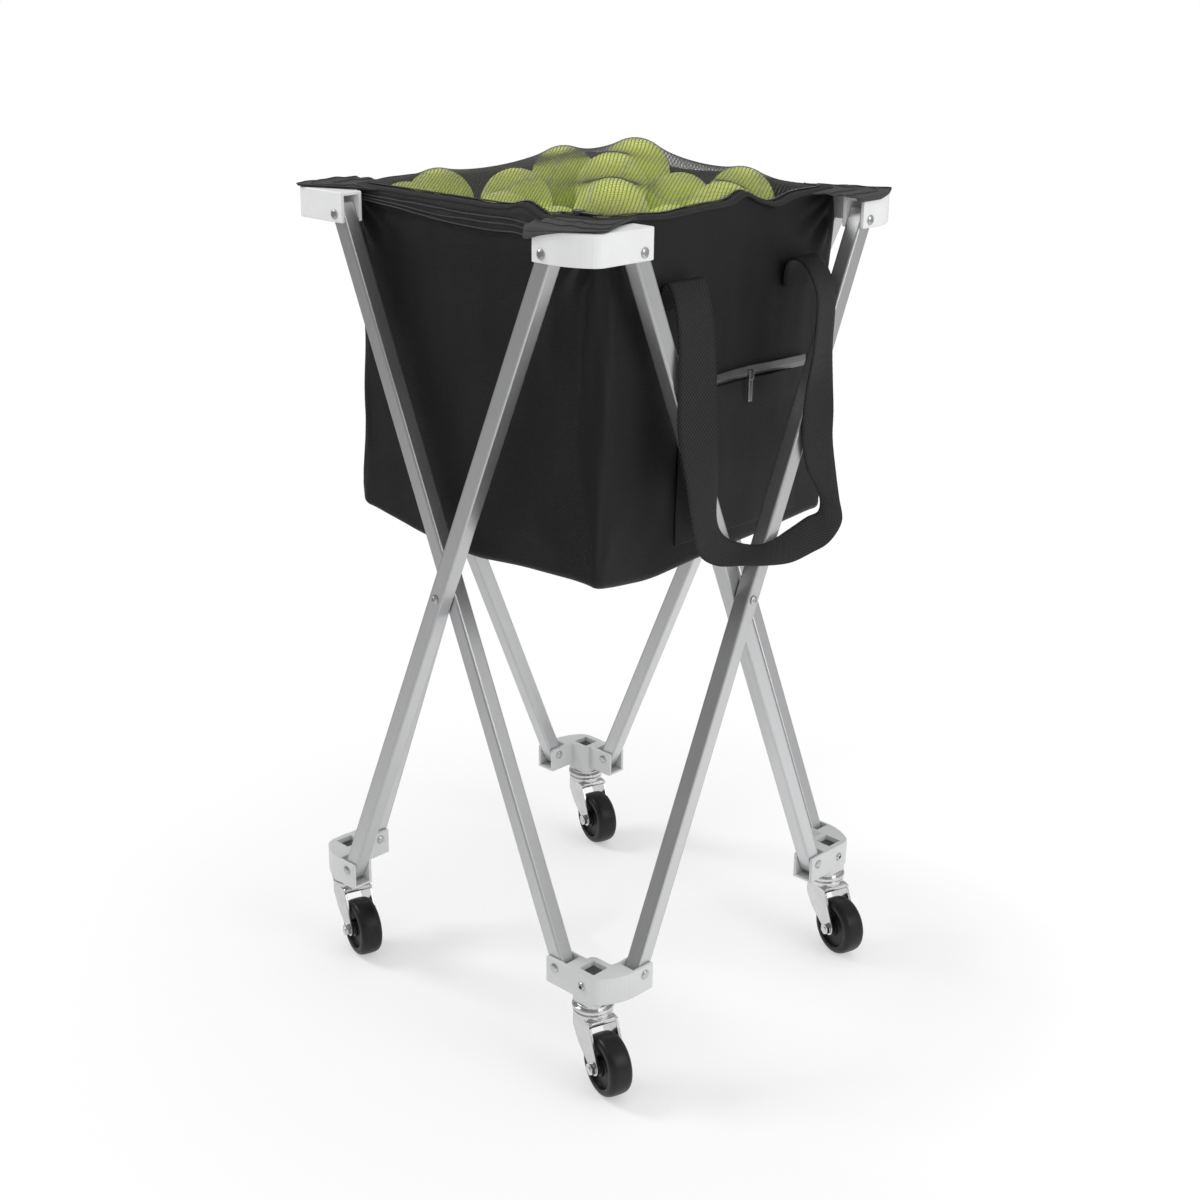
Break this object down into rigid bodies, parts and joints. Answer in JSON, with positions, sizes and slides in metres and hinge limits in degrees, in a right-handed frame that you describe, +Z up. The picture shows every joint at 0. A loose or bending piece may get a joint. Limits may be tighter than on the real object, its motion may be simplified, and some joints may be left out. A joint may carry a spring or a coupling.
{
  "type": "ball cart",
  "caption": "Folding ball cart: a zipped cloth bag of balls in a square scissor frame between moulded corner brackets, on swivel casters.",
  "frame": {"origin": "on the floor under the middle of the square that the corner brackets make", "axes": "+Z up, -Y out of the front side, +X out of the right side with the pocket and the near handle; the picture looks at the front right corner"},
  "size_m": [0.4408, 0.4168, 0.8226],
  "materials": {
    "bracket_white": "moulded, satin",
    "bracket_grey": "moulded, satin",
    "bar_silver": "satin",
    "rivet_steel": "bright",
    "caster_zinc": "bright zinc",
    "wheel_black": "smooth",
    "net": "open net",
    "bag_cloth": "plain weave",
    "webbing": "woven webbing",
    "ball_felt": "felt",
    "zip_metal": "bright"
  },
  "bodies": {
    "upper_front_right": {"upper_bracket_front_right": "bracket_white", "right_rivet_top_inner": "rivet_steel", "front_rivet_top_outer": "rivet_steel"},
    "lower_front_right": {"lower_bracket_front_right": "bracket_grey", "right_rivet_low_outer": "rivet_steel", "front_rivet_low_inner": "rivet_steel", "caster_stem_front_right": "caster_zinc"},
    "upper_back_right": {"upper_bracket_back_right": "bracket_white", "back_rivet_top_inner": "rivet_steel", "right_rivet_top_outer": "rivet_steel"},
    "lower_back_right": {"lower_bracket_back_right": "bracket_grey", "back_rivet_low_outer": "rivet_steel", "right_rivet_low_inner": "rivet_steel", "caster_stem_back_right": "caster_zinc"},
    "upper_back_left": {"upper_bracket_back_left": "bracket_white", "left_rivet_top_inner": "rivet_steel", "back_rivet_top_outer": "rivet_steel"},
    "lower_back_left": {"lower_bracket_back_left": "bracket_grey", "left_rivet_low_outer": "rivet_steel", "back_rivet_low_inner": "rivet_steel", "caster_stem_back_left": "caster_zinc"},
    "upper_front_left": {"upper_bracket_front_left": "bracket_white", "front_rivet_top_inner": "rivet_steel", "left_rivet_top_outer": "rivet_steel"},
    "lower_front_left": {"lower_bracket_front_left": "bracket_grey", "front_rivet_low_outer": "rivet_steel", "left_rivet_low_inner": "rivet_steel", "caster_stem_front_left": "caster_zinc"},
    "right_inner": {"right_bar_inner": "bar_silver"},
    "right_outer": {"right_bar_outer": "bar_silver", "right_crossing_rivet": "rivet_steel"},
    "back_inner": {"back_bar_inner": "bar_silver"},
    "back_outer": {"back_bar_outer": "bar_silver", "back_crossing_rivet": "rivet_steel"},
    "left_inner": {"left_bar_inner": "bar_silver"},
    "left_outer": {"left_bar_outer": "bar_silver", "left_crossing_rivet": "rivet_steel"},
    "front_inner": {"front_bar_inner": "bar_silver"},
    "front_outer": {"front_bar_outer": "bar_silver", "front_crossing_rivet": "rivet_steel"},
    "fork_front_right": {"caster_fork_front_right": "caster_zinc", "caster_axle_front_right": "caster_zinc"},
    "wheel_front_right": {"caster_wheel_front_right": "wheel_black"},
    "fork_back_right": {"caster_fork_back_right": "caster_zinc", "caster_axle_back_right": "caster_zinc"},
    "wheel_back_right": {"caster_wheel_back_right": "wheel_black"},
    "fork_back_left": {"caster_fork_back_left": "caster_zinc", "caster_axle_back_left": "caster_zinc"},
    "wheel_back_left": {"caster_wheel_back_left": "wheel_black"},
    "fork_front_left": {"caster_fork_front_left": "caster_zinc", "caster_axle_front_left": "caster_zinc"},
    "wheel_front_left": {"caster_wheel_front_left": "wheel_black"},
    "bag": {"bag_body": "bag_cloth", "lid": "net", "ball_load": "ball_felt", "handle_right": "webbing", "handle_left": "webbing", "side_pocket": "bag_cloth"},
    "lid_slider": {"lid_zip_slider": "zip_metal"},
    "pocket_slider": {"pocket_zip_slider": "zip_metal"}
  },
  "joints": [
    {"name": "frame_fold", "type": "hinge", "parent": "upper_front_right", "child": "front_outer", "pos_m": [0.14, -0.2066, 0.7582], "axis": [0, -1, 0], "range_deg": [0, 21.1], "deforming": ["bag_body", "handle_left", "handle_right", "side_pocket", "ball_load"]},
    {"name": "front_crossing", "type": "hinge", "parent": "front_outer", "child": "front_inner", "pos_m": [0, -0.1869, 0.4318], "axis": [0, -1, 0], "range_deg": [-42.2, 0]},
    {"name": "front_inner_top", "type": "hinge", "parent": "front_inner", "child": "upper_front_left", "pos_m": [-0.14, -0.19, 0.7582], "axis": [0, -1, 0], "range_deg": [0, 21.1]},
    {"name": "front_outer_low", "type": "hinge", "parent": "front_outer", "child": "lower_front_left", "pos_m": [-0.14, -0.2066, 0.1054], "axis": [0, -1, 0], "range_deg": [-21.1, 0]},
    {"name": "front_inner_low", "type": "hinge", "parent": "front_inner", "child": "lower_front_right", "pos_m": [0.14, -0.19, 0.1054], "axis": [0, -1, 0], "range_deg": [0, 21.1]},
    {"name": "right_inner_top", "type": "hinge", "parent": "upper_front_right", "child": "right_inner", "pos_m": [0.19, -0.14, 0.7582], "axis": [1, 0, 0], "range_deg": [-21.1, 0]},
    {"name": "right_crossing", "type": "hinge", "parent": "right_inner", "child": "right_outer", "pos_m": [0.1869, 0, 0.4318], "axis": [1, 0, 0], "range_deg": [0, 42.2]},
    {"name": "right_outer_top", "type": "hinge", "parent": "right_outer", "child": "upper_back_right", "pos_m": [0.2066, 0.14, 0.7582], "axis": [1, 0, 0], "range_deg": [-21.1, 0]},
    {"name": "right_inner_low", "type": "hinge", "parent": "right_inner", "child": "lower_back_right", "pos_m": [0.19, 0.14, 0.1054], "axis": [1, 0, 0], "range_deg": [0, 21.1]},
    {"name": "back_inner_top", "type": "hinge", "parent": "upper_back_right", "child": "back_inner", "pos_m": [0.14, 0.19, 0.7582], "axis": [0, 1, 0], "range_deg": [-21.1, 0]},
    {"name": "back_crossing", "type": "hinge", "parent": "back_inner", "child": "back_outer", "pos_m": [0, 0.1869, 0.4318], "axis": [0, 1, 0], "range_deg": [0, 42.2]},
    {"name": "back_outer_top", "type": "hinge", "parent": "back_outer", "child": "upper_back_left", "pos_m": [-0.14, 0.2066, 0.7582], "axis": [0, 1, 0], "range_deg": [-21.1, 0]},
    {"name": "back_inner_low", "type": "hinge", "parent": "back_inner", "child": "lower_back_left", "pos_m": [-0.14, 0.19, 0.1054], "axis": [0, 1, 0], "range_deg": [0, 21.1]},
    {"name": "left_outer_top", "type": "hinge", "parent": "upper_front_left", "child": "left_outer", "pos_m": [-0.2066, -0.14, 0.7582], "axis": [-1, 0, 0], "range_deg": [0, 21.1]},
    {"name": "left_crossing", "type": "hinge", "parent": "left_outer", "child": "left_inner", "pos_m": [-0.1869, 0, 0.4318], "axis": [-1, 0, 0], "range_deg": [-42.2, 0]},
    {"name": "caster_swivel_front_right", "type": "hinge", "parent": "lower_front_right", "child": "fork_front_right", "pos_m": [0.175, -0.175, 0.08], "axis": [0, 0, 1], "continuous": true},
    {"name": "wheel_spin_front_right", "type": "hinge", "parent": "fork_front_right", "child": "wheel_front_right", "pos_m": [0.20245, -0.18339, 0.0293], "axis": [0.2924, 0.9563, 0], "continuous": true},
    {"name": "caster_swivel_back_right", "type": "hinge", "parent": "lower_back_right", "child": "fork_back_right", "pos_m": [0.175, 0.175, 0.08], "axis": [0, 0, 1], "continuous": true},
    {"name": "wheel_spin_back_right", "type": "hinge", "parent": "fork_back_right", "child": "wheel_back_right", "pos_m": [0.20245, 0.16661, 0.0293], "axis": [0.2924, 0.9563, 0], "continuous": true},
    {"name": "caster_swivel_back_left", "type": "hinge", "parent": "lower_back_left", "child": "fork_back_left", "pos_m": [-0.175, 0.175, 0.08], "axis": [0, 0, 1], "continuous": true},
    {"name": "wheel_spin_back_left", "type": "hinge", "parent": "fork_back_left", "child": "wheel_back_left", "pos_m": [-0.14755, 0.16661, 0.0293], "axis": [0.2924, 0.9563, 0], "continuous": true},
    {"name": "caster_swivel_front_left", "type": "hinge", "parent": "lower_front_left", "child": "fork_front_left", "pos_m": [-0.175, -0.175, 0.08], "axis": [0, 0, 1], "continuous": true},
    {"name": "wheel_spin_front_left", "type": "hinge", "parent": "fork_front_left", "child": "wheel_front_left", "pos_m": [-0.14755, -0.18339, 0.0293], "axis": [0.2924, 0.9563, 0], "continuous": true},
    {"name": "bag_lift", "type": "slide", "parent": "upper_front_right", "child": "bag", "axis": [0, 0, 1], "range_m": [0, 0.36]},
    {"name": "lid_zip", "type": "slide", "parent": "bag", "child": "lid_slider", "axis": [1, 0, 0], "range_m": [-0.25, 0.005]},
    {"name": "pocket_zip", "type": "slide", "parent": "bag", "child": "pocket_slider", "axis": [0, 1, 0], "range_m": [-0.08, 0.078]}
  ],
  "couplings": [
    {"joint": "front_crossing", "follows": "frame_fold", "ratio": -2},
    {"joint": "front_inner_top", "follows": "frame_fold", "ratio": 1},
    {"joint": "front_outer_low", "follows": "frame_fold", "ratio": -1},
    {"joint": "front_inner_low", "follows": "frame_fold", "ratio": 1},
    {"joint": "right_inner_top", "follows": "frame_fold", "ratio": -1},
    {"joint": "right_crossing", "follows": "frame_fold", "ratio": 2},
    {"joint": "right_outer_top", "follows": "frame_fold", "ratio": -1},
    {"joint": "right_inner_low", "follows": "frame_fold", "ratio": 1},
    {"joint": "back_inner_top", "follows": "frame_fold", "ratio": -1},
    {"joint": "back_crossing", "follows": "frame_fold", "ratio": 2},
    {"joint": "back_outer_top", "follows": "frame_fold", "ratio": -1},
    {"joint": "back_inner_low", "follows": "frame_fold", "ratio": 1},
    {"joint": "left_outer_top", "follows": "frame_fold", "ratio": 1},
    {"joint": "left_crossing", "follows": "frame_fold", "ratio": -2},
    {"joint": "bag_lift", "follows": "frame_fold", "m_per_rad": 0.97}
  ]
}
